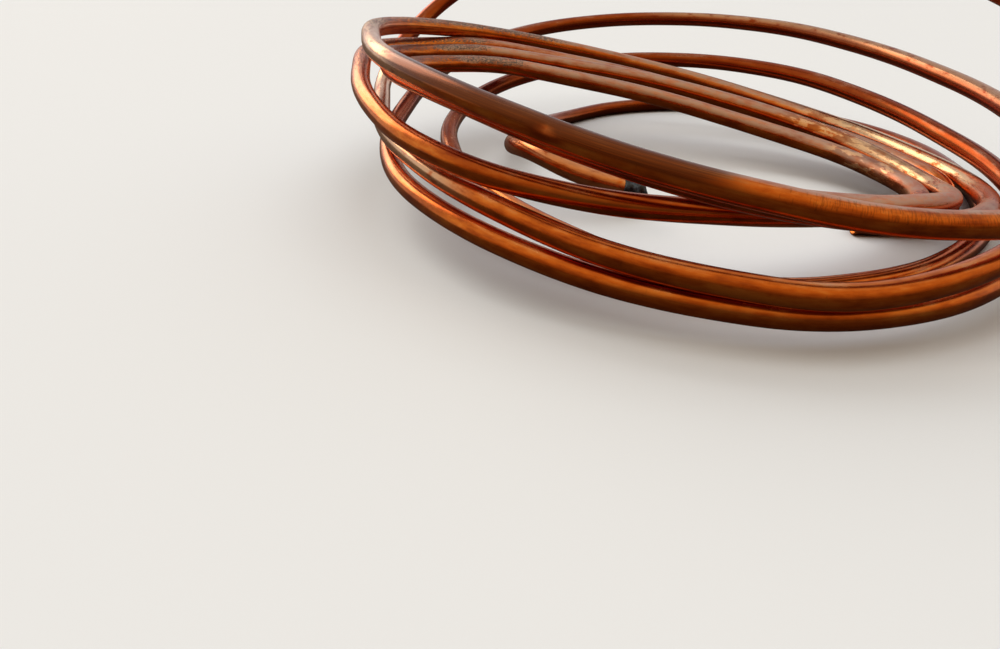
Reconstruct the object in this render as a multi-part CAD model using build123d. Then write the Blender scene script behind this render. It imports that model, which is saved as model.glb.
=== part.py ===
from build123d import *
from math import cos, pi, sin, tan
import os

# A loose coil of soft copper tube, its turns sprung apart, with one end taped shut. Millimetres, +Z up.
# It lies on a level floor, and its origin is the middle of the bottom of its box.

# The tube is 5/8 inch outside.
tube_od = 15.88
tube_wall = 1.0

# The tape over the first end: the thickness of its layers, the glue under them, how far it reaches back over
# the tube, how far its pinched end stands out, and the hollow left inside the pinch.
tape_thickness = 0.6
tape_glue = 0.1
tape_cover = 16.0
tape_nose = 5.0
pinch_hollow = 1.8

# Each turn's near, left, far and right point, (x, y), on the tube's axis. Seen from above the tube runs
# clockwise, from the taped end in the first row to the open end after the last.
turn_plan = [
    [(-72, -117), (-143, -13), (66, 280), (275, 44)],
    [(16, -268), (-203, 5), (1, 227), (240, -95)],
    [(13, -326), (-251, -38), (4, 335), (262, -33)],
    [(25, -334), (-271, 72), (-96, 235), (279, -130)],
    [(39, -327), (-266, 4), (-31, 208), (230, -78)],
    [(-16, -283), (-257, 32), (-136, 134), (195, -98)],
    [(-5, -260), (-235, -6), (-114, 92), (178, -96)],
    [(-85, -258), (-279, 18), (-131, 153), (212, -86)],
]
# The axis's height at those points and halfway between them, in tube diameters. Half a diameter is on the floor.
turn_level = [
    [1.9, 2.75, 2.15, 0.5, 0.5, 0.5, 0.5, 0.5],
    [0.5, 1.85, 2.6, 3.7, 4.5, 4.3, 2.6, 1.5],
    [1.3, 2.45, 3.2, 5.5, 6.6, 6.6, 5.2, 3.8],
    [2.35, 3.7, 4.7, 8.6, 12.2, 12.8, 8.0, 4.8],
    [4.9, 7.5, 8.2, 7.15, 4.85, 2.4, 1.55, 2.4],
    [4.6, 7.0, 6.6, 6.1, 5.5, 3.1, 1.5, 2.85],
    [4.3, 6.6, 6.3, 5.8, 5.0, 2.4, 1.4, 2.45],
    [3.9, 5.2, 6.7, 6.45, 5.65, 2.6, 1.3],
]
# Where the taped end lies, and the bends and the end of the tail. The tail turns in along the floor, so that a
# fitting can be pushed on from inside the coil.
taped_end_point = (-43, -114, 22.5)
tail_points = [(202, -128, 8), (167, -153, 8), (117, -153, 8)]

# Each quarter turn has this many straight runs. Their corners stand out by a share of the bend there, and an
# arc takes a share of the shorter run beside its corner.
quarter_runs = 4
corner_push = 0.25
arc_share = 0.45


def smooth(values, place):
    """The value at a place in a list, on a smooth curve through all its values."""
    index = min(int(place), len(values) - 2)
    before = values[max(index - 1, 0)]
    start = values[index]
    end = values[index + 1]
    after = values[min(index + 2, len(values) - 1)]
    part = place - index
    slope = end - before
    bend = 2 * before - 5 * start + 4 * end - after
    twist = 3 * start - before - 3 * end + after
    return start + (slope + (bend + twist * part) * part) * part / 2


def quarter_point(start, end, angle, leaves_sideways):
    """A point of the quarter ellipse between two points of the plan, angle going from 0 to a right angle."""
    if leaves_sideways:
        return start[0] + (end[0] - start[0]) * sin(angle), end[1] + (start[1] - end[1]) * cos(angle)
    return end[0] + (start[0] - end[0]) * cos(angle), start[1] + (end[1] - start[1]) * sin(angle)


def route_corners():
    """The corners of the tube's route, from the taped end to the open one."""
    plan = [point for row in turn_plan for point in row]
    level = [height for row in turn_level for height in row]
    route = [Vector(*taped_end_point)]
    for quarter in range(len(plan) - 1):
        for run in range(quarter_runs):
            share = run / quarter_runs
            x, y = quarter_point(plan[quarter], plan[quarter + 1], share * pi / 2, quarter % 2 == 0)
            route.append(Vector(x, y, tube_od * smooth(level, 2 * (quarter + share))))
    route.append(Vector(*plan[-1], tube_od * level[-1]))
    route += [Vector(*point) for point in tail_points]
    corners = [route[0]]
    for before, corner, after in zip(route, route[1:], route[2:]):
        pushed = corner + (corner - (before + after) / 2) * corner_push
        corners.append(Vector(pushed.X, pushed.Y, max(pushed.Z, tube_od / 2)))
    return corners + [route[-1]]


def bend_radii(corners):
    """The radius of the arc at each inner corner."""
    radii = []
    for before, corner, after in zip(corners, corners[1:], corners[2:]):
        run_in = corner - before
        run_out = after - corner
        turn = run_in.get_angle(run_out) * pi / 180
        radii.append(arc_share * min(run_in.length, run_out.length) / tan(turn / 2))
    return radii


def tube_skin(radius, start, path):
    """The long faces of a round bar carried along the path, without its two ends."""
    bar = Solid.sweep(Wire(Edge.make_circle(radius, start)), path)
    return [face for face in bar.faces() if face.geom_type != GeomType.PLANE]


def make_tube(path, first_end, last_end):
    """The hollow tube: an outer and an inner skin, closed by a ring at each end."""
    outside = tube_skin(tube_od / 2, first_end, path)
    inside = tube_skin(tube_od / 2 - tube_wall, first_end, path)
    rings = []
    for end in (first_end, last_end):
        rim = Wire(Edge.make_circle(tube_od / 2, end))
        hole = Wire(Edge.make_circle(tube_od / 2 - tube_wall, end))
        rings.append(Face(rim, [hole]))
    return Solid(Shell(outside + [-face for face in inside] + rings))


def tape_form(end, radius, start, middle, tip, pinch_width, pinch_height):
    """A round sleeve from start to middle that is pinched to a flat oval at its tip."""
    sleeve = extrude(end.offset(start) * Circle(radius), middle - start)
    pinch = loft([end.offset(middle) * Circle(radius), end.offset(tip) * Ellipse(pinch_width, pinch_height)])
    return sleeve + pinch


def make_tape(end):
    """The tape cap, wrapped round the tube's end and pinched flat over its mouth."""
    inner_radius = tube_od / 2 + tape_glue
    outer_radius = inner_radius + tape_thickness
    inner_width = tube_od / 2 - tape_thickness
    inner_height = pinch_hollow / 2
    outer = tape_form(
        end, outer_radius, -tape_cover, 0, tape_nose, inner_width + tape_thickness, inner_height + tape_thickness
    )
    inner = tape_form(
        end, inner_radius, -tape_cover - tape_thickness, tape_glue, tape_nose - tape_thickness, inner_width, inner_height
    )
    return outer - inner


corners = route_corners()
radii = bend_radii(corners)
route = FilletPolyline(*corners, radius=radii)
path = Wire(route.edges())
first_direction = path % 0
last_direction = path % 1
first_end = Plane(origin=path @ 0, z_dir=first_direction)
last_end = Plane(origin=path @ 1, z_dir=last_direction)
level_side = Vector(0, 0, 1).cross(first_direction)
tape_plane = Plane(origin=path @ 0, x_dir=level_side, z_dir=-first_direction)

copper_tube = make_tube(path, first_end, last_end)
end_tape = make_tape(tape_plane)

# The finished pieces move together, so that the origin is the middle of the bottom of their box.
box = copper_tube.bounding_box().add(end_tape.bounding_box())
to_origin = Pos(-box.center().X, -box.center().Y, -box.min.Z)

os.makedirs("parts", exist_ok=True)
export_step(to_origin * copper_tube, "parts/copper_tube.step")
export_step(to_origin * end_tape, "parts/end_tape.step")

section_area = pi * (tube_od - tube_wall) * tube_wall
moved = to_origin.position
open_straight = (1 - arc_share) * (corners[-1] - corners[-2]).length
taped_straight = (1 - arc_share) * (corners[1] - corners[0]).length
mount_point = last_end.origin - last_direction * (open_straight / 2) + moved
print("radii", [round(radius) for radius in radii])
print("smallest radius", round(min(radii)), "largest", round(max(radii)))
print("tube length", round(path.length))
print("volume", round(copper_tube.volume), "section times length", round(section_area * path.length))
print("moved by", moved, "box", box.size)
print("middle of the open end's straight", mount_point, "axis", last_direction, "length", round(open_straight, 1))
print("taped end", first_end.origin + moved, "axis", -first_direction, "straight", round(taped_straight, 1))
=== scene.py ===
# %% [markdown]
# # A loose coil of copper tube
# The object is one long soft copper tube, bent into a coil whose turns have sprung apart, with black tape
# over one end. This lesson makes its two pieces as surfaces worked out with numpy, and finishes them with
# node materials. The plain model of the coil is loaded first, because every piece has to lie where it lies.

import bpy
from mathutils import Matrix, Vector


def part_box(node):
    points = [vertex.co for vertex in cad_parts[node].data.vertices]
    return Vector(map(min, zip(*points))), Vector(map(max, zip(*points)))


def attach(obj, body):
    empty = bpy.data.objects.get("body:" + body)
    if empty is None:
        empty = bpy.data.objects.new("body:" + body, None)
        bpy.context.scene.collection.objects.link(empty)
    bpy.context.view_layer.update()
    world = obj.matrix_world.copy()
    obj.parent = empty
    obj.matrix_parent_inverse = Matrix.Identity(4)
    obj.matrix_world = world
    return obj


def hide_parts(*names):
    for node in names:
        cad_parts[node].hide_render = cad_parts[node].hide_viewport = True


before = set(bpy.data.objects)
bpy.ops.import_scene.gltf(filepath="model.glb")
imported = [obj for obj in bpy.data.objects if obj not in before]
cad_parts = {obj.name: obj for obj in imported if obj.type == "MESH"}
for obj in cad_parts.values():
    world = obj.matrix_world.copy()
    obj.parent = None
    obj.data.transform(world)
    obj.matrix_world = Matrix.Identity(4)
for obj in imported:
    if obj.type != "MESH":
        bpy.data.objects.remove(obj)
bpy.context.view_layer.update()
print("parts", sorted(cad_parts))

# %% [markdown]
# ## Tools and units
# Blender counts in metres, and the tube is easier to think of in millimetres. So shapes are worked out in
# millimetres and turned to metres when a mesh is made. Whatever looks random comes from one seeded
# generator, so that the coil comes out the same each time.

# %% Tools
import math

import bpy
import numpy as np
from mathutils import Vector

MM = 0.001
rng = np.random.default_rng(7)
print("a millimetre is", MM, "of Blender's units")

# %% [markdown]
# ## The camera
# The photograph looks down on the coil from a little above it and in front of it. A camera is a point, a
# tilt and a lens. The lens is written as a share of the picture's width, so that it holds for any size of
# sensor: the photograph's focal length is 0.71 of its width.

# %% Place the camera
CAMERA_PLACE = (-156.3 * MM, -670.1 * MM, 206.3 * MM)
CAMERA_TILT_DOWN = 29.0
FOCAL_SHARE_OF_WIDTH = 0.71
SENSOR_WIDTH = 36.0
NEAREST_SEEN = 10 * MM

lens = bpy.data.cameras.new("photo_view")
lens.sensor_fit = "HORIZONTAL"
lens.sensor_width = SENSOR_WIDTH
lens.lens = SENSOR_WIDTH * FOCAL_SHARE_OF_WIDTH
lens.clip_start = NEAREST_SEEN
camera = bpy.data.objects.new("photo_view", lens)
camera.location = CAMERA_PLACE
camera.rotation_euler = (math.radians(90 - CAMERA_TILT_DOWN), 0, 0)
bpy.context.scene.collection.objects.link(camera)
bpy.context.scene.camera = camera
print("camera at", camera.location[:], "lens", round(lens.lens, 1), "mm")

# %% [markdown]
# ## The route of the tube
# A sprung coil isn't a helix: each turn has its own width, and the turns tilt and cross. It could be drawn
# as one long spline, but then nothing would say which point belongs to which turn. So each turn is four
# points of a plan, and eight heights. Turns are counted by the rows of the plan: a whole number is the near
# point of its row, and a quarter, a half and three quarters more are its left, far and right points. Seen
# from above, the tube goes clockwise from its taped end.

# %% The plan and the heights
TUBE_OD = 15.88
# Each turn's near, left, far and right point, (x, y), in millimetres.
TURN_PLAN = [
    [(-72, -117), (-143, -13), (66, 280), (275, 44)],
    [(16, -268), (-203, 5), (1, 227), (240, -95)],
    [(13, -326), (-251, -38), (4, 335), (262, -33)],
    [(25, -334), (-271, 72), (-96, 235), (279, -130)],
    [(39, -327), (-266, 4), (-31, 208), (230, -78)],
    [(-16, -283), (-257, 32), (-136, 134), (195, -98)],
    [(-5, -260), (-235, -6), (-114, 92), (178, -96)],
    [(-85, -258), (-279, 18), (-131, 153), (212, -86)],
]
# The axis's height at those points and halfway between them, in tube diameters. Half of one is on the floor.
TURN_LEVEL = [
    [1.9, 2.75, 2.15, 0.5, 0.5, 0.5, 0.5, 0.5],
    [0.5, 1.85, 2.6, 3.7, 4.5, 4.3, 2.6, 1.5],
    [1.3, 2.45, 3.2, 5.5, 6.6, 6.6, 5.2, 3.8],
    [2.35, 3.7, 4.7, 8.6, 12.2, 12.8, 8.0, 4.8],
    [4.9, 7.5, 8.2, 7.15, 4.85, 2.4, 1.55, 2.4],
    [4.6, 7.0, 6.6, 6.1, 5.5, 3.1, 1.5, 2.85],
    [4.3, 6.6, 6.3, 5.8, 5.0, 2.4, 1.4, 2.45],
    [3.9, 5.2, 6.7, 6.45, 5.65, 2.6, 1.3],
]
# Where the taped end lies, and the bends and the end of the straight tail, (x, y, z).
TAPED_END_POINT = (-43, -114, 22.5)
TAIL_POINTS = [(202, -128, 8), (167, -153, 8), (117, -153, 8)]
print("turns", len(TURN_PLAN))

# %% [markdown]
# ## From the plan to corners
# A quarter ellipse joins each point of the plan to the next, because an ellipse leaves each point square to
# the coil's axes, and neighbours then meet without a kink. The heights follow a smooth curve of their own.
# Four straight runs stand for each quarter, and each corner is pushed out by a share of its bend, so that
# the coil keeps its size once the corners are rounded.

# %% Corners
QUARTER_RUNS = 4
CORNER_PUSH = 0.25


def smooth(values, place):
    """Values read at any place in their list, on cubics that pass through each value with half the step
    between its two neighbours as their slope."""
    index = np.minimum(place.astype(int), len(values) - 2)
    before = values[np.maximum(index - 1, 0)]
    start = values[index]
    end = values[index + 1]
    after = values[np.minimum(index + 2, len(values) - 1)]
    part = place - index
    bend = 2 * before - 5 * start + 4 * end - after
    twist = 3 * start - before - 3 * end + after
    return start + (end - before + (bend + twist * part) * part) * part / 2


def route_corners():
    """Each quarter goes from a to b as a + (b - a) * sin(angle) on the axis that it leaves along, and as
    b + (a - b) * cos(angle) on the other, the angle going from 0 to a right angle."""
    plan = np.array(TURN_PLAN, float).reshape(-1, 2)
    level = np.concatenate(TURN_LEVEL)
    place = np.arange((len(plan) - 1) * QUARTER_RUNS + 1) / QUARTER_RUNS
    quarter = np.minimum(place.astype(int), len(plan) - 2)
    angle = (place - quarter) * math.pi / 2
    a = plan[quarter].T
    b = plan[quarter + 1].T
    leaving = a + (b - a) * np.sin(angle)
    arriving = b + (a - b) * np.cos(angle)
    sideways = quarter % 2 == 0
    x = np.where(sideways, leaving[0], arriving[0])
    y = np.where(sideways, arriving[1], leaving[1])
    z = TUBE_OD * smooth(level, 2 * place)
    route = np.vstack([TAPED_END_POINT, np.column_stack([x, y, z]), TAIL_POINTS])
    pushed = route.copy()
    pushed[1:-1] += CORNER_PUSH * (route[1:-1] - (route[:-2] + route[2:]) / 2)
    pushed[1:-1, 2] = np.maximum(pushed[1:-1, 2], TUBE_OD / 2)
    return pushed


corners = route_corners()
print("corners", len(corners))

# %% [markdown]
# ## Arcs at the corners
# Tube that is bent by hand has no corners, so each one becomes an arc that meets its two runs without a
# kink. An arc takes the same share of the shorter run beside it, which makes it as large as its runs allow.
# Each point of the line also keeps the turn that it belongs to, because wear is placed by turns further on.

# %% Round the corners
ARC_SHARE = 0.45
ARC_STEPS = 9
RUNS_A_TURN = 4 * QUARTER_RUNS


def arc_line(points):
    """Each inner corner as an arc: start + along * r * sin(a) + inwards * r * (1 - cos(a)), with r the share
    of the shorter run divided by the tangent of half the turn. Gives the line, and the turn at each point."""
    runs = np.diff(points, axis=0)
    length = np.linalg.norm(runs, axis=1)
    along = runs / length[:, None]
    dot = (along[:-1] * along[1:]).sum(axis=1)
    turn = np.arccos(np.clip(dot, -1, 1))
    reach = ARC_SHARE * np.minimum(length[:-1], length[1:])
    radius = reach / np.tan(turn / 2)
    inwards = along[1:] - along[:-1] * dot[:, None]
    inwards /= np.linalg.norm(inwards, axis=1)[:, None]
    start = points[1:-1] - along[:-1] * reach[:, None]
    share = np.linspace(0, 1, ARC_STEPS)
    angle = turn[:, None] * share
    forwards = (radius[:, None] * np.sin(angle))[..., None]
    sideways = (radius[:, None] * (1 - np.cos(angle)))[..., None]
    line = start[:, None] + along[:-1][:, None] * forwards + inwards[:, None] * sideways
    line = np.vstack([points[0], line.reshape(-1, 3), points[-1]])
    number = np.arange(len(points) - 2)[:, None] + (share - 0.5) * 2 * ARC_SHARE
    number = np.concatenate([[-1], number.ravel(), [len(points) - 2]])
    return line, number / RUNS_A_TURN


arcs, arc_turns = arc_line(corners)
print("points on the arcs", len(arcs))

# %% [markdown]
# ## Even steps
# The arcs have many points and the runs between them have none. Everything that follows is easier on a line
# whose points are evenly spaced, so it is read again at every millimetre of its length.

# %% Read the line at even steps
FINE_STEP = 1.0


def distance_along(line):
    """The running sum of the steps between points."""
    return np.concatenate([[0], np.cumsum(np.linalg.norm(np.diff(line, axis=0), axis=1))])


def read_line(line, at, where):
    """A line of points read at other distances, one axis at a time."""
    return np.column_stack([np.interp(where, at, axis) for axis in line.T])


arc_at = distance_along(arcs)
fine_at = np.linspace(0, arc_at[-1], int(arc_at[-1] / FINE_STEP))
fine_line = read_line(arcs, arc_at, fine_at)
fine_turns = np.interp(fine_at, arc_at, arc_turns)
print("even points", len(fine_line))

# %% [markdown]
# ## A bend that shines evenly
# Straight runs joined by arcs make a sound tube, but polished metal shows where an arc starts: the highlight
# jumps there. So the line is softened along its length. Plain averaging would pull each bend inwards.
# Averaging twice, and taking that off twice the first average, leaves it in place.

# %% Soften the line
SOFTEN_REACH = 16.0


def softened(line, reach):
    """Twice a bell-shaped average less the average of that average, with the ends carried on straight."""
    half = int(3 * reach / FINE_STEP)
    weight = np.exp(-0.5 * (np.arange(-half, half + 1) * FINE_STEP / reach) ** 2)
    weight /= weight.sum()
    before = line[0] + (line[0] - line[1]) * np.arange(2 * half, 0, -1)[:, None]
    beyond = line[-1] + (line[-1] - line[-2]) * np.arange(1, 2 * half + 1)[:, None]
    long = np.vstack([before, line, beyond])
    once = np.column_stack([np.convolve(axis, weight, mode="same") for axis in long.T])
    twice = np.column_stack([np.convolve(axis, weight, mode="same") for axis in once.T])
    return (2 * once - twice)[2 * half:-2 * half]


fine_line = softened(fine_line, SOFTEN_REACH)
# The plain tube's box gives the last small shift, so that the two lie on each other.
low, high = (np.array(corner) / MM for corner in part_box("copper_tube"))
shift = (low + high) / 2 - (fine_line.min(axis=0) + fine_line.max(axis=0)) / 2
fine_line += shift
fine_at = distance_along(fine_line)
print("length", round(fine_at[-1]), "mm, shift", shift.round(2))

# %% [markdown]
# ## Rings along the tube
# A tube is a circle carried along a line, so it is a grid of rings and sides. At each ring the circle lies in
# two directions: outwards from the coil, and upwards. Side angle 0 is then the coil's outside, 90 degrees is
# the top and 270 is the underside, so wear and tarnish can be put where hands and weather reach. Seen from
# the front, the near half of the coil shows angles from -60 to 120 degrees, and the far half 60 to 240.

# %% Rings and sides
SIDES = 24
RING_STEP = 4.25
# The bore hardly shows, so its skin has only one ring for every three outside.
INNER_EVERY = 3

ring_count = int(fine_at[-1] / RING_STEP / INNER_EVERY) * INNER_EVERY + 1
ring_at = np.linspace(0, fine_at[-1], ring_count)
ring_turn = np.interp(ring_at, fine_at, fine_turns)
centre = read_line(fine_line, fine_at, ring_at)
heading = np.gradient(centre, ring_at, axis=0)
heading /= np.linalg.norm(heading, axis=1)[:, None]
outwards = np.cross((0, 0, 1), heading)
outwards /= np.linalg.norm(outwards, axis=1)[:, None]
upwards = np.cross(heading, outwards)
bend_rate = np.linalg.norm(np.gradient(heading, ring_at, axis=0), axis=1)
side_angle = np.linspace(0, 2 * math.pi, SIDES, endpoint=False)
print("rings", ring_count, "tightest bend", round(1 / bend_rate[3:-3].max()), "mm")

# %% [markdown]
# ## Dents
# Soft tube takes a dent where it is knocked. A bump in the material could shade one, but its outline would
# stay straight. So each dent is a bell-shaped hollow in the radius, with a place and a size of its own.

# %% Where the dents are
# Each dent's turn, its angle in degrees, and half its length, half its width and its depth, in millimetres.
DENTS = [
    (4.092, 30, 11.0, 7.0, 1.3),
    (4.30, 60, 14.0, 5.0, 0.35),
    (5.30, 70, 12.0, 5.0, 0.35),
    (2.07, 40, 12.0, 5.0, 0.3),
    (1.98, 15, 10.0, 6.0, 0.3),
    (3.98, 70, 16.0, 5.0, 0.3),
]


def bell(distance, reach):
    """A smooth bump, 1 at distance 0 and 0.61 at its reach."""
    return np.exp(-0.5 * (distance / reach) ** 2)


def dent_place(turn, degrees):
    """How far each ring and each side is from a dent's middle, along the tube and round it."""
    along = ring_at[:, None] - np.interp(turn, ring_turn, ring_at)
    around = (np.degrees(side_angle)[None, :] - degrees + 180) % 360 - 180
    return along, np.radians(around) * TUBE_OD / 2


print("dents", len(DENTS))

# %% [markdown]
# ## Never quite round
# Drawn tube loses its roundness once it is bent: it flattens a little in tight bends, and swells and shrinks
# by a few hundredths of a millimetre along its length. Nobody would see that in the outline, but it is what
# makes the highlights on a real tube wander, so the radius changes from ring to ring and side to side.

# %% The radius at each ring and side
FLATTENING = 0.10
TIGHT_BEND = 80.0
WAVINESS = 0.05
WAVE_LENGTHS = (47.0, 83.0, 131.0)


def ring_radius():
    """A circle's radius, less a share of cos(2a) squared that grows with the bend, plus the sum of three
    waves, each sin(2 pi s / length) times cos(2a), less a bell along times a bell across for each dent."""
    along = ring_at[:, None]
    angle = side_angle[None, :]
    radius = np.full((ring_count, SIDES), TUBE_OD / 2)
    radius -= FLATTENING * np.clip(bend_rate[:, None] * TIGHT_BEND, 0, 1) * np.cos(2 * angle) ** 2
    for length in WAVE_LENGTHS:
        phase = rng.uniform(0, 2 * math.pi, 2)
        wave = np.sin(2 * math.pi * along / length + phase[0]) * np.cos(angle * 2 + phase[1])
        radius += WAVINESS / len(WAVE_LENGTHS) * wave
    for turn, degrees, half_length, half_width, depth in DENTS:
        dent_along, dent_across = dent_place(turn, degrees)
        radius -= depth * bell(dent_along, half_length / 2) * bell(dent_across, half_width / 2)
    return radius


outer_radius = ring_radius()
print("radius from", round(outer_radius.min(), 2), "to", round(outer_radius.max(), 2), "mm")

# %% [markdown]
# ## Points and faces
# Blender has curves that bevel themselves to tubes, but those can't be dented or have a wall. So the tube is
# made point by point: a ring's points are its centre plus the radius times the two directions, and quads join
# each ring to the next. A tube that is open at its end has an inner skin too, and a flat rim joins the two.
# A face looks towards where its corners run anticlockwise, so the inner skin's quads run backwards.

# %% Skins and rims


def rings_to_points(radius):
    """centre + radius * (cos(a) * outwards + sin(a) * upwards), for every ring and side."""
    out = np.cos(side_angle)[None, :, None] * outwards[:, None]
    up = np.sin(side_angle)[None, :, None] * upwards[:, None]
    return centre[:, None] + radius[..., None] * (out + up)


def skin_faces(first, rings, sides, outside):
    """Quads between neighbour rings, from the point numbered first, that face away from the material."""
    ring = np.arange(rings - 1)[:, None] * sides + first
    side = np.arange(sides)[None, :]
    following = (side + 1) % sides
    quads = np.stack([ring + side, ring + following, ring + sides + following, ring + sides + side], axis=-1)
    quads = quads.reshape(-1, 4)
    return quads if outside else quads[:, ::-1]


def rim_faces(outer_ring, inner_ring, sides, facing_back):
    """A flat ring of quads between the outer and the inner skin at one end."""
    side = np.arange(sides)
    following = (side + 1) % sides
    quads = np.stack(
        [outer_ring + side, inner_ring + side, inner_ring + following, outer_ring + following], axis=-1
    )
    return quads if facing_back else quads[:, ::-1]


print("points on the outer skin", ring_count * SIDES)

# %% [markdown]
# ## From points to an object
# A mesh holds points and faces, and an object puts a mesh in the scene. Points are worked out where they
# really lie, so the object itself stays at the origin, unturned, and patterns on it can't slide.

# %% A new piece


def new_piece(name, points, faces):
    """A mesh object at the origin, from points in millimetres and quads, shaded smooth."""
    mesh = bpy.data.meshes.new(name)
    mesh.from_pydata((points * MM).tolist(), [], faces.tolist())
    mesh.polygons.foreach_set("use_smooth", np.ones(len(faces), bool))
    mesh.update()
    piece = bpy.data.objects.new(name, mesh)
    bpy.context.scene.collection.objects.link(piece)
    return piece


print("pieces so far", len(bpy.data.meshes))

# %% [markdown]
# ## The tube
# The tube is one piece from its taped end to its open one. A plain rod would look the same from most sides,
# but the real one has a millimetre of wall, so it is given both skins: whoever looks into the open end sees
# a real bore.

# %% Build the tube
TUBE_WALL = 1.0

outer = rings_to_points(outer_radius)
inner = rings_to_points(outer_radius - TUBE_WALL)[::INNER_EVERY]
last_ring = (ring_count - 1) * SIDES
inner_first = ring_count * SIDES
inner_last = inner_first + (len(inner) - 1) * SIDES
tube_faces = np.vstack([
    skin_faces(0, ring_count, SIDES, True),
    skin_faces(inner_first, len(inner), SIDES, False),
    rim_faces(0, inner_first, SIDES, True),
    rim_faces(last_ring, inner_last, SIDES, False),
])
tube = new_piece("coiled_tube", np.vstack([outer.reshape(-1, 3), inner.reshape(-1, 3)]), tube_faces)
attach(tube, "root")
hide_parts("copper_tube")
print("tube quads", len(tube_faces))

# %% [markdown]
# ## Where the tube is worn and tarnished, and where light and shade are painted
# Copper that has been handled is a map of its own history: a dull film where it lay in the open, grey-black
# grains where damp stood on it, and bright metal where the film has flaked or rubbed off. Some marks also
# hold painted light: a painted reflection of the sky in the film, a painted highlight on bright bends, and
# painted shade on the far side. A material can make the pattern of each, but not its place on this tube.
# Painting it by hand would need an image. So each kind of mark is a list of spots, and each point of the
# tube carries a number from 0 to 1 for each kind.

# %% Spots of wear


def stretch(start, end, soft):
    """1 between two turns, falling to 0 over the soft share of a turn outside them, as 3x^2 - 2x^3 does."""
    rise = np.clip((ring_turn - start) / soft + 1, 0, 1)
    fall = np.clip((end - ring_turn) / soft + 1, 0, 1)
    both = rise * fall
    return (both * both * (3 - 2 * both))[:, None]


def side(degrees, half_width):
    """1 up to half a width from an angle, falling to 0 at twice that, as 3x^2 - 2x^3 does."""
    around = np.abs((np.degrees(side_angle) - degrees + 180) % 360 - 180)
    fall = np.clip(2 - around / half_width, 0, 1)
    return (fall * fall * (3 - 2 * fall))[None, :]


def spots(*rows):
    """The sum of spots, each given by its strength, its first and last turn, how softly it ends, its angle
    round the tube and half its width, both in degrees."""
    total = np.zeros((ring_count, SIDES))
    for strength, start, end, soft, degrees, half_width in rows:
        total += strength * stretch(start, end, soft) * side(degrees, half_width)
    return total


ALL_ROUND = (0, 180)
ALL_TURNS = (-1, len(TURN_PLAN), 1)
marks = {}
print("turns from", round(ring_turn[0], 2), "to", round(ring_turn[-1], 2))

# %% [markdown]
# ## Film and brown
# A thin mauve film dulls the top of every turn, and it is thickest along the far side of the inner turns. Its
# pale mauve on the tops is also a painted reflection of the pale sky above. The turn that lies on top of the
# near side has a thicker, darker coat: that is the brown.

# %% Place the film and the brown
# Film: partly tarnish, partly a painted reflection of the sky on the tops of the turns.
marks["film"] = spots(
    (0.32, *ALL_TURNS, 92, 40),
    (0.45, 3.93, 4.04, 0.02, 94, 16),
    (0.55, 4.36, 4.62, 0.05, 100, 30),
    (0.65, 5.40, 5.62, 0.05, 112, 36),
    (0.75, 6.40, 6.66, 0.05, 112, 40),
    (0.45, 6.70, 6.80, 0.02, 120, 60),
    (0.55, 4.86, 5.02, 0.03, 90, 50),
    (0.55, 5.80, 6.02, 0.03, 90, 50),
    (0.35, 7.45, 7.70, 0.05, 100, 50),
)
marks["brown"] = spots((1.0, 4.055, 4.16, 0.03, 74, 46))
print("mean film", round(marks["film"].mean(), 2), "mean brown", round(marks["brown"].mean(), 3))

# %% [markdown]
# ## Grains and flakes
# Grains are what damp leaves where it stands. They crowd on top of the left bends of the upper turns. Flakes
# are on the far side, near the right bends, where the film has come off in islands and shows clean metal.

# %% Place the grains and the flakes
LEFT_BENDS = (4, 5, 6, 7)

marks["grains"] = 0.05 + spots(
    *[(1.0, turn + 0.24, turn + 0.44, 0.07, 85, 55) for turn in LEFT_BENDS],
    (0.35, 6.44, 6.66, 0.05, 110, 60),
)
marks["flakes"] = spots(
    (1.0, 5.655, 5.74, 0.02, 125, 60),
    (1.0, 6.685, 6.735, 0.012, 135, 60),
    (0.7, 4.645, 4.685, 0.012, 110, 50),
)
print("mean grains", round(marks["grains"].mean(), 2), "mean flakes", round(marks["flakes"].mean(), 3))

# %% [markdown]
# ## Rubbed and highlighted, shaded and ticked places
# Bends that rub on hands and on each other stay bright, and their pale cream is also a painted highlight. The
# far side of the first four turns is painted a deep red brown right round, which is painted shade. Ticks are
# short dark marks across the tube, such as a rough edge leaves when the tube is pulled over it.

# %% Place the rubbed metal and painted highlight, the painted shade and the ticks
FIRST_TURNS = (0, 1, 2, 3)

# Pale cream, partly rubbed metal and partly a painted highlight on the bends.
marks["bright"] = spots(
    (1.0, 4.68, 4.77, 0.03, 130, 90),
    (0.8, 5.70, 5.80, 0.03, 130, 90),
    (0.7, 4.17, 4.25, 0.03, 40, 80),
    (0.7, 3.14, 3.25, 0.03, 40, 80),
    (0.3, -0.1, 0.12, 0.04, 60, 90),
    (0.45, 2.56, 2.85, 0.06, 75, 50),
    (0.35, 4.56, 4.80, 0.06, 75, 50),
)
# Painted shade: a deep red brown right round the far side of the first four turns.
marks["deep"] = spots(
    *[(1.0, turn + 0.30, turn + 0.80, 0.06, *ALL_ROUND) for turn in FIRST_TURNS],
    (0.6, 6.92, 7.08, 0.03, 75, 45),
)
marks["ticks"] = spots(
    (1.0, 3.955, 4.025, 0.01, 48, 22),
    (0.7, 4.56, 4.66, 0.02, 205, 30),
)
print("mean bright", round(marks["bright"].mean(), 2), "mean deep", round(marks["deep"].mean(), 2))

# %% [markdown]
# ## The deepest dent
# The middle of the dent is painted lighter and clearer of the brown coat, which is a painted highlight, and a
# ring round its edge is painted darker with grains and deep red brown, which is painted shade, so that the
# hollow shows. The distance from its middle is counted in dent sizes, so 1 is the edge all the way round its
# oval.

# %% Mark the deepest dent
turn, degrees, half_length, half_width, depth = DENTS[0]
dent_along, dent_across = dent_place(turn, degrees)
from_dent = np.hypot(dent_along / half_length, dent_across / half_width)
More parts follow.
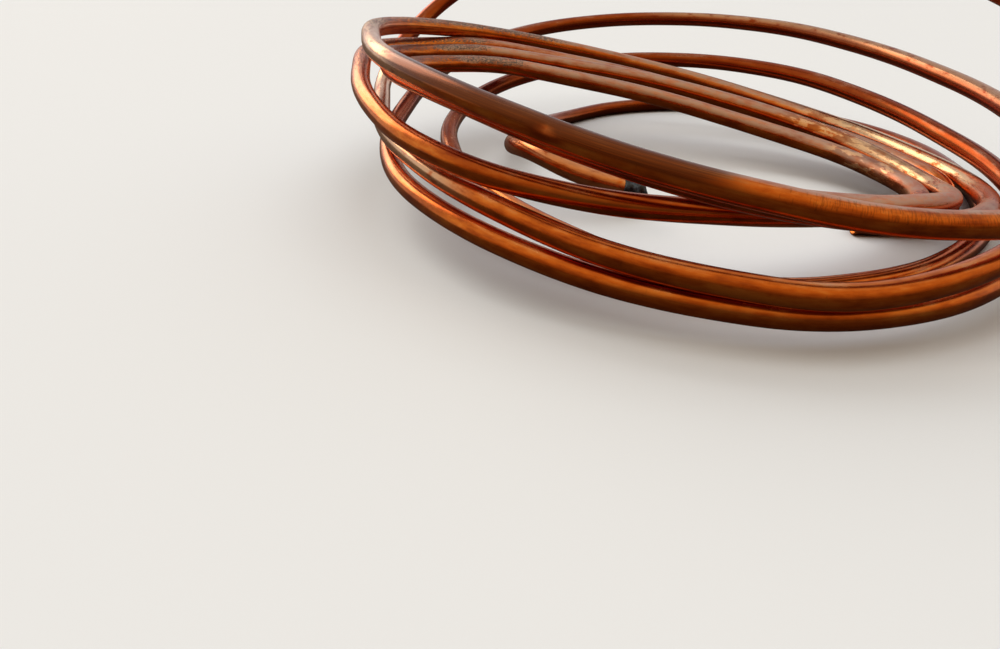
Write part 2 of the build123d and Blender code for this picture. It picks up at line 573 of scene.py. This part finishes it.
# Painted highlight in the middle of the dent, painted shade round its edge.
marks["bright"] += 0.25 * bell(from_dent, 0.25)
marks["brown"] -= 0.5 * bell(from_dent, 0.30)
marks["grains"] += 0.25 * bell(from_dent - 0.9, 0.30)
marks["deep"] += 1.0 * bell(from_dent - 0.8, 0.35)
print("dent", 2 * half_length, "by", 2 * half_width, "by", depth, "mm")

# %% [markdown]
# ## Numbers that the material can read
# An attribute is a value for each point of a mesh, and a material can read it by name. Each kind of mark
# becomes one. One more, the straight place, says where each point would lie if the tube were pulled straight
# along one axis, in millimetres. A pattern that reads it follows the tube round every bend, as drawing lines
# do on the real one.

# %% Give the tube its numbers


def both_skins(values):
    """The outer skin's values, and then those of the rings that the inner skin has too."""
    one_point = values.shape[2:]
    return np.concatenate([values.reshape(-1, *one_point), values[::INNER_EVERY].reshape(-1, *one_point)])


def give_numbers(piece, name, values):
    """One number, or one vector, for each point of a piece."""
    kind = "FLOAT_VECTOR" if values.ndim == 2 else "FLOAT"
    field = "vector" if values.ndim == 2 else "value"
    layer = piece.data.attributes.new(name, kind, "POINT")
    layer.data.foreach_set(field, np.ascontiguousarray(values, np.float32).ravel())


for name, values in marks.items():
    give_numbers(tube, name, both_skins(np.clip(values, 0, 1)))

straight = np.empty((ring_count, SIDES, 3))
straight[..., 0] = ring_at[:, None]
straight[..., 1] = np.cos(side_angle) * TUBE_OD / 2
straight[..., 2] = np.sin(side_angle) * TUBE_OD / 2
give_numbers(tube, "straight", both_skins(straight))
print("numbers", [*marks, "straight"])

# %% [markdown]
# ## The tape over the end
# Vinyl tape is wound round the end in a few turns and pinched shut over the mouth. It never lies smooth: each
# lap ends in a small step, and the soft film creases where it is pulled round the rim. The cap is a sleeve
# whose section goes from a circle to a flat oval, with the laps and the creases added to its radius.

# %% The surface of the tape
TAPE_THICKNESS = 0.6
TAPE_GLUE = 0.1
TAPE_COVER = 16.0
TAPE_NOSE = 5.0
PINCH_HEIGHT = 1.5
PINCH_NARROWING = 0.12
PINCH_CURVE = 1.6
TAPE_RINGS = 72
TAPE_SIDES = 96
LAP_STEP = 0.16
LAP_SPACING = 5.5
LAP_RISE = 1.15
CREASES = 7
CREASE_DEPTHS = (0.14, 0.26)


def tape_surface():
    """A helix of laps and a few slanting creases on a circle. Past the rim the section is squeezed: less and
    less tall, and a little narrower. Gives the place along the tube, across it and up from it."""
    along = np.linspace(-TAPE_COVER, TAPE_NOSE, TAPE_RINGS)[:, None]
    angle = np.linspace(0, 2 * math.pi, TAPE_SIDES, endpoint=False)[None, :]
    past = np.clip(along / TAPE_NOSE, 0, 1)
    lap = (along / LAP_SPACING + angle / (2 * math.pi)) % 1
    radius = TUBE_OD / 2 + TAPE_GLUE + TAPE_THICKNESS - LAP_STEP * np.clip(LAP_RISE * lap, 0, 1)
    for crease in range(CREASES):
        turns = rng.integers(2, 9)
        slant = rng.uniform(-1.2, 1.2)
        phase = rng.uniform(0, 2 * math.pi)
        # Creases are three times as deep at the pinch as on the tube.
        depth = rng.uniform(*CREASE_DEPTHS) * (0.6 + past * 1.2)
        radius = radius + depth * np.abs(np.sin(turns * angle / 2 + slant * along / 2 + phase)) - depth
    flat = 1 - PINCH_HEIGHT / (TUBE_OD / 2)
    wide = radius * np.cos(angle) * (1 - PINCH_NARROWING * past**2)
    tall = radius * np.sin(angle) * (1 - flat * past**PINCH_CURVE)
    return np.stack([along + 0 * angle, wide, tall], axis=-1)


tape_outside = tape_surface()
print("tape from", tape_outside.min(axis=(0, 1)).round(1), "to", tape_outside.max(axis=(0, 1)).round(1), "mm")

# %% [markdown]
# ## The tape as a closed piece
# The inside is the outside drawn in by the tape's thickness, and a rim joins the two at the sleeve's back
# edge. At the tip each point is joined to the one across the pinch, in strips, which shuts the flat oval
# without a pole where shading would star.

# %% Build the tape cap


def tip_faces(first, sides):
    """Strips across a flat oval ring that starts at the point numbered first."""
    strip = np.arange(sides // 2 - 1)
    across = first + sides - 1 - strip
    return np.stack([first + strip, first + strip + 1, across - 1, across], axis=-1)


squeeze = 1 - TAPE_THICKNESS / (TUBE_OD / 2)
tape_inside = tape_outside * (1, squeeze, squeeze)
tape_inside[..., 0] = np.minimum(tape_inside[..., 0], TAPE_NOSE - TAPE_THICKNESS)
tape_heading = -heading[0]
tape_side = np.cross((0, 0, 1), tape_heading)
tape_side /= np.linalg.norm(tape_side)
tape_up = np.cross(tape_heading, tape_side)
tape_local = np.vstack([tape_outside.reshape(-1, 3), tape_inside.reshape(-1, 3)])
tape_points = centre[0] + tape_local @ np.array([tape_heading, tape_side, tape_up])

inside_first = TAPE_RINGS * TAPE_SIDES
tip = tip_faces((TAPE_RINGS - 1) * TAPE_SIDES, TAPE_SIDES)
tape_faces = np.vstack([
    skin_faces(0, TAPE_RINGS, TAPE_SIDES, True),
    skin_faces(inside_first, TAPE_RINGS, TAPE_SIDES, False),
    rim_faces(0, inside_first, TAPE_SIDES, True),
    tip,
    (tip + inside_first)[:, ::-1],
])
tape = new_piece("tape_cap", tape_points, tape_faces)
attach(tape, "root")
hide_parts("end_tape")
print("tape quads", len(tape_faces))

# %% [markdown]
# ## Colours and nodes
# Colours are written as they look on a screen, in hex, and Blender's shaders want them linear, so one
# function turns the one into the other. A material is a tree of nodes, and its code is mostly adding them, so
# one more function adds a node, sets it and feeds it, and gives back the output that the next node wants.

# %% Colours and nodes


def colour(hex_code):
    """sRGB hex to linear red, green, blue and alpha."""
    parts = np.array([int(hex_code[i:i + 2], 16) for i in (1, 3, 5)]) / 255
    linear = np.where(parts <= 0.04045, parts / 12.92, ((parts + 0.055) / 1.055) ** 2.4)
    return (*linear.tolist(), 1.0)


def add_node(tree, kind, inputs, output=0, **settings):
    """Adds a node and sets its properties. Its inputs are values or other nodes' outputs, in order or by
    their names or numbers. Gives back one of its outputs."""
    node = tree.nodes.new("ShaderNode" + kind)
    for name, value in settings.items():
        setattr(node, name, value)
    places = inputs.items() if isinstance(inputs, dict) else enumerate(inputs)
    for place, value in places:
        if isinstance(value, bpy.types.NodeSocket):
            tree.links.new(value, node.inputs[place])
        else:
            node.inputs[place].default_value = value
    return node.outputs[output]


def new_material(name):
    """A material with only its shader: the material itself, its tree and its shader."""
    material = bpy.data.materials.new(name)
    material.use_nodes = True
    return material, material.node_tree, material.node_tree.nodes["Principled BSDF"]


def set_stops(ramp, stops):
    """Puts stops, each a place and a colour, on a colour ramp, which has two to start with."""
    for place, hex_code in stops[2:]:
        ramp.elements.new(place)
    for element, (place, hex_code) in zip(sorted(ramp.elements, key=lambda stop: stop.position), stops):
        element.position = place
        element.color = colour(hex_code)


# A Map Range node with this setting goes smoothly from 0 at one value to 1 at another.
SMOOTH = {"interpolation_type": "SMOOTHSTEP"}
print("mid grey is", round(colour("#808080")[0], 3), "when linear")

# %% [markdown]
# ## Copper, drawn soft
# The tube is copper that was drawn through a die and annealed. Drawing leaves fine lines along it, which
# stretch each highlight lengthwise, and annealing leaves a soft orange metal whose colour drifts in clouds
# much longer than they are wide. An image could hold such a pattern, but it would have to be fitted round
# every bend. Noise that reads the straight place needs no fitting, and its sizes are real millimetres.

# %% Patterns on the straightened tube


def blotches(tree, place, length, width, detail=4.0, roughness=0.6):
    """Noise whose blotches are so many millimetres long and wide: the place divided by those sizes."""
    sizes = (1 / length, 1 / width, 1 / width)
    mapped = add_node(tree, "Mapping", {"Vector": place, "Scale": sizes})
    inputs = {"Vector": mapped, "Scale": 1.0, "Detail": detail, "Roughness": roughness}
    return add_node(tree, "TexNoise", inputs, "Fac")


copper, tree, shader = new_material("drawn_soft_copper")
place = add_node(tree, "Attribute", {}, "Vector", attribute_name="straight")
clouds = blotches(tree, place, 60, 10)
mottle = blotches(tree, place, 14, 5, 5.0)
# Real drawing lines are a tenth as wide. They are as coarse here as they need to be to show.
streaks = blotches(tree, place, 80, 0.8, 3.0)
print("pattern nodes", len(tree.nodes))

# %% [markdown]
# ## The clean metal
# The shader is a metal, and its colour is what it reflects. A ramp turns the pattern's tone into three
# coppers, from red brown to light orange, and the drawing lines are laid over it a little lighter.

# %% The drawn metal


def lay_over(tree, below, mask, share, hex_code):
    """A colour over another: the mask times the share says how much of it shows. A Mix node takes its two
    colours in its sockets 6 and 7, and gives the mixed one as its output 2."""
    cover = add_node(tree, "Math", [mask, share], operation="MULTIPLY")
    return add_node(tree, "Mix", {0: cover, 6: below, 7: colour(hex_code)}, 2, data_type="RGBA")


cloudy = add_node(tree, "Math", [clouds, 0.6], operation="MULTIPLY")
tone = add_node(tree, "Math", [mottle, 0.4, cloudy], operation="MULTIPLY_ADD")
metal = add_node(tree, "ValToRGB", [tone])
set_stops(metal.node.color_ramp, [(0.36, "#A64616"), (0.50, "#DA6E24"), (0.62, "#F2903C")])
lines = add_node(tree, "MapRange", [streaks, 0.45, 0.75], **SMOOTH)
metal = lay_over(tree, metal, lines, 0.14, "#F4A468")
print("nodes in the drawn metal", len(tree.nodes))

# %% [markdown]
# ## Tarnish and painted light, layer by layer
# Tarnish builds up in layers, so the material lays its colours over each other in the order in which they
# came, with painted light among them: first a deep red brown, which is painted shade, then pale cream, partly
# rubbed metal where hands have taken the tarnish off and partly a painted highlight, then the mauve film,
# partly a painted reflection of the sky, and the brown coat. The film and the coat add the pattern's tone to
# the mark before they are cut off, which gives them an uneven edge that follows the clouds.

# %% Painted shade, rubbed metal and painted highlight, film and brown
worn = {name: add_node(tree, "Attribute", {}, "Fac", attribute_name=name) for name in marks}
# Painted shade: a deep red brown laid over the metal.
metal = lay_over(tree, metal, worn["deep"], 0.78, "#8A3418")

# Pale cream, partly rubbed metal and partly a painted highlight.
rubbed_and_highlight_patches = add_node(tree, "MapRange", [mottle, 0.30, 0.50], **SMOOTH)
metal = lay_over(tree, metal, worn["bright"], rubbed_and_highlight_patches, "#EDC294")

# The pale mauve film, partly tarnish and partly a painted reflection of the sky on the tops.
film_edge = add_node(tree, "Math", [tone, 1.3, worn["film"]], operation="MULTIPLY_ADD")
film = add_node(tree, "MapRange", [film_edge, 0.92, 1.45], **SMOOTH)
film_clouds = add_node(tree, "MapRange", [mottle, 0.35, 0.60], **SMOOTH)
patchy = add_node(tree, "Math", [streaks, film_clouds], operation="ADD")
veil = add_node(tree, "Math", [patchy, 0.42, 0.20], operation="MULTIPLY_ADD")
metal = lay_over(tree, metal, film, veil, "#BFA08E")

coat_edge = add_node(tree, "Math", [worn["brown"], tone], operation="ADD")
coat = add_node(tree, "MapRange", [coat_edge, 0.72, 1.45], **SMOOTH)
streaky = add_node(tree, "Math", [streaks, 0.48], operation="ADD")
metal = lay_over(tree, metal, coat, streaky, "#6E3C24")
print("nodes with the tarnish", len(tree.nodes))

# %% [markdown]
# ## Flakes, grains and ticks
# These have hard edges, so their noise is cut off sharply. Flaking leaves dark islands on pale metal, which
# is one noise cut off both ways. Grains are specks, and the more of the mark there is, the more of them pass
# the cut, so they crowd together. Ticks are specks that are much longer across the tube than along it.

# %% Flakes, grains and ticks
islands = blotches(tree, place, 17, 6, 6.0, 0.6)
bare = add_node(tree, "MapRange", [islands, 0.52, 0.55], **SMOOTH)
kept = add_node(tree, "MapRange", [islands, 0.52, 0.49], **SMOOTH)
bare_flakes = add_node(tree, "Math", [bare, worn["flakes"]], operation="MULTIPLY")
kept_flakes = add_node(tree, "Math", [kept, worn["flakes"]], operation="MULTIPLY")
metal = lay_over(tree, metal, bare_flakes, 0.7, "#F6C492")
metal = lay_over(tree, metal, kept_flakes, 0.42, "#80543F")

speckle = blotches(tree, place, 2.2, 1.2, 5.0, 0.7)
crowd = add_node(tree, "Math", [worn["grains"], 0.33, speckle], operation="MULTIPLY_ADD")
grains = add_node(tree, "MapRange", [crowd, 0.76, 0.86], **SMOOTH)
metal = lay_over(tree, metal, grains, 0.85, "#4B4644")

hairs = blotches(tree, place, 0.8, 6.0, 1.0, 0.5)
tick_edge = add_node(tree, "Math", [worn["ticks"], 0.22, hairs], operation="MULTIPLY_ADD")
ticks = add_node(tree, "MapRange", [tick_edge, 0.73, 0.78], **SMOOTH)
metal = lay_over(tree, metal, ticks, 0.32, "#4A2818")
print("nodes with the marks", len(tree.nodes))

# %% [markdown]
# ## The copper's gloss
# Clean drawn copper is a soft mirror. The film and the grains are oxide, which is rougher and isn't metal, so
# they spread the highlight and hold a colour of their own. A slight bump from the drawing lines, the mottle
# and the grains breaks the reflections up. It stands for marks of under a fifth of a millimetre.

# %% Gloss and bump
dull_film = add_node(tree, "Math", [film, 0.55], operation="MULTIPLY")
dull = add_node(tree, "Math", [dull_film, grains], operation="MAXIMUM")
even_rough = add_node(tree, "MapRange", {"Value": dull, "To Min": 0.18, "To Max": 0.50})
rough = add_node(tree, "Math", [streaks, 0.10, even_rough], operation="MULTIPLY_ADD")
grain_oxide = add_node(tree, "Math", [grains, 0.7], operation="MULTIPLY")
film_oxide = add_node(tree, "Math", [film, 0.22], operation="MULTIPLY")
oxide = add_node(tree, "Math", [grain_oxide, film_oxide], operation="MAXIMUM")
metallic = add_node(tree, "Math", [1.0, oxide], operation="SUBTRACT")

lumps = add_node(tree, "Math", [mottle, 0.5], operation="MULTIPLY")
ridges = add_node(tree, "Math", [streaks, 0.15, lumps], operation="MULTIPLY_ADD")
height = add_node(tree, "Math", [grains, 0.4, ridges], operation="MULTIPLY_ADD")
bump = add_node(tree, "Bump", {"Height": height, "Strength": 0.25, "Distance": 0.2 * MM})
tree.links.new(metal, shader.inputs["Base Color"])
tree.links.new(metallic, shader.inputs["Metallic"])
tree.links.new(rough, shader.inputs["Roughness"])
tree.links.new(bump, shader.inputs["Normal"])
tube.data.materials.append(copper)
print("material", copper.name, "nodes", len(tree.nodes))

# %% [markdown]
# ## Black vinyl tape
# The tape is calendered plasticised vinyl, a glossy black film with a slightly blue shine. Stretching it by
# hand leaves marks that break the shine up, and it gathers pale dust. So it is a dark plastic of low
# roughness, with a bump for the stretch marks and a grey blue tint in patches, which is partly the dust and
# partly a painted sheen.

# %% The tape's finish
STRETCH_MARK = 2.4 * MM
DUST_AND_SHEEN_PATCH = 6 * MM

vinyl, tree, shader = new_material("black_vinyl_tape")
place = add_node(tree, "TexCoord", {}, "Object")
pulled = add_node(tree, "TexNoise", {"Vector": place, "Scale": 1 / STRETCH_MARK, "Detail": 3.0}, "Fac")
dust_and_sheen_noise = add_node(tree, "TexNoise", {"Vector": place, "Scale": 1 / DUST_AND_SHEEN_PATCH, "Detail": 4.0}, "Fac")
# Grey blue patches: partly dust, partly a painted sheen on the black vinyl.
dust_and_sheen = add_node(tree, "MapRange", [dust_and_sheen_noise, 0.45, 0.75], **SMOOTH)
tint = lay_over(tree, colour("#10141C"), dust_and_sheen, 0.5, "#66788C")
rough = add_node(tree, "Math", [dust_and_sheen, 0.2, 0.14], operation="MULTIPLY_ADD")
bump = add_node(tree, "Bump", {"Height": pulled, "Strength": 0.6, "Distance": 0.8 * MM})
tree.links.new(tint, shader.inputs["Base Color"])
tree.links.new(rough, shader.inputs["Roughness"])
tree.links.new(bump, shader.inputs["Normal"])
tape.data.materials.append(vinyl)
print("material", vinyl.name, "nodes", len(tree.nodes))

# %% [markdown]
# ## The floor
# A plain matt floor takes the shadow. Copper is a mirror with a colour, so a pale floor would also light up
# the underside of every turn, and the coil would lose its depth. A Light Path node tells the camera's rays
# from those that come by way of the copper, so the floor is pale for the first and dark for the others.

# %% Lay the floor
FLOOR_HALF = 40.0

floor = new_piece(
    "floor",
    np.array([(-1, -1, 0), (1, -1, 0), (1, 1, 0), (-1, 1, 0)], float) * FLOOR_HALF / MM,
    np.array([[0, 1, 2, 3]]),
)
floor_paint, tree, shader = new_material("pale_floor")
seen = add_node(tree, "LightPath", {}, "Is Camera Ray")
shade = add_node(tree, "Mix", {0: seen, 6: colour("#4C423C"), 7: colour("#E6EAF0")}, 2, data_type="RGBA")
tree.links.new(shade, shader.inputs["Base Color"])
shader.inputs["Roughness"].default_value = 0.9
floor.data.materials.append(floor_paint)
print("floor", 2 * FLOOR_HALF, "metres wide")

# %% [markdown]
# ## The lamps
# One low soft sun from behind on the left draws the white shine on the left bends and the near turns. A wide
# lamp straight above lights the floor and softens the shadow. Mirror rays don't see that second lamp, so
# the tops of the turns keep the darker colours of the room.

# %% Hang the lamps


def hang_sun(name, strength, spread, travels):
    """A sun whose light travels in a direction, and comes from a disc so many degrees across."""
    light = bpy.data.lights.new(name, "SUN")
    light.energy = strength
    light.angle = math.radians(spread)
    lamp = bpy.data.objects.new(name, light)
    lamp.rotation_euler = Vector(travels).to_track_quat("-Z", "Y").to_euler()
    bpy.context.scene.collection.objects.link(lamp)
    return lamp


low_sun = hang_sun("low_sun", 0.8, 38, (0.50, -0.72, -0.48))
low_sun.data.color = colour("#FFF1DC")[:3]
ceiling = hang_sun("ceiling", 1.05, 80, (0, 0, -1))
ceiling.visible_glossy = False
print("lamps", low_sun.name, ceiling.name)

# %% [markdown]
# ## The room
# Polished copper shows the room more than it shows its lamps. A ramp of colours from in front, over the top,
# to behind gives it one: dark and warm at the front horizon, tan as it rises, pale above and cool behind. So
# each near turn is deep below and pale on top. The camera itself sees a plain pale backdrop.

# %% Light the room
world = bpy.data.worlds.new("room")
world.use_nodes = True
bpy.context.scene.world = world
tree = world.node_tree

# The angle over the coil from front to back is atan2(z, -y). Divided by pi, 0 is the horizon in front, 0.5
# is straight above and 1 is the horizon behind.
look = add_node(tree, "TexCoord", {}, "Generated")
backwards = add_node(tree, "SeparateXYZ", [look], "Y")
above = add_node(tree, "SeparateXYZ", [look], "Z")
forwards = add_node(tree, "Math", [backwards, -1.0], operation="MULTIPLY")
over = add_node(tree, "Math", [above, forwards], operation="ARCTAN2")
half_turns = add_node(tree, "Math", [over, 1 / math.pi], operation="MULTIPLY")
sky = add_node(tree, "ValToRGB", [half_turns])
set_stops(sky.node.color_ramp, [
    (0.0, "#4C3E38"),
    (0.14, "#9C8264"),
    (0.33, "#D0B88E"),
    (0.52, "#DCD8CA"),
    (0.77, "#CCCED4"),
    (1.0, "#DCE0E6"),
])
seen = add_node(tree, "LightPath", {}, "Is Camera Ray")
backdrop = add_node(tree, "Mix", {0: seen, 6: sky, 7: colour("#E4E3E0")}, 2, data_type="RGBA")
background = tree.nodes["Background"]
tree.links.new(backdrop, background.inputs["Color"])
background.inputs["Strength"].default_value = 1.0
print("nodes in the room", len(tree.nodes))

bpy.context.scene.view_settings.view_transform = "Standard"
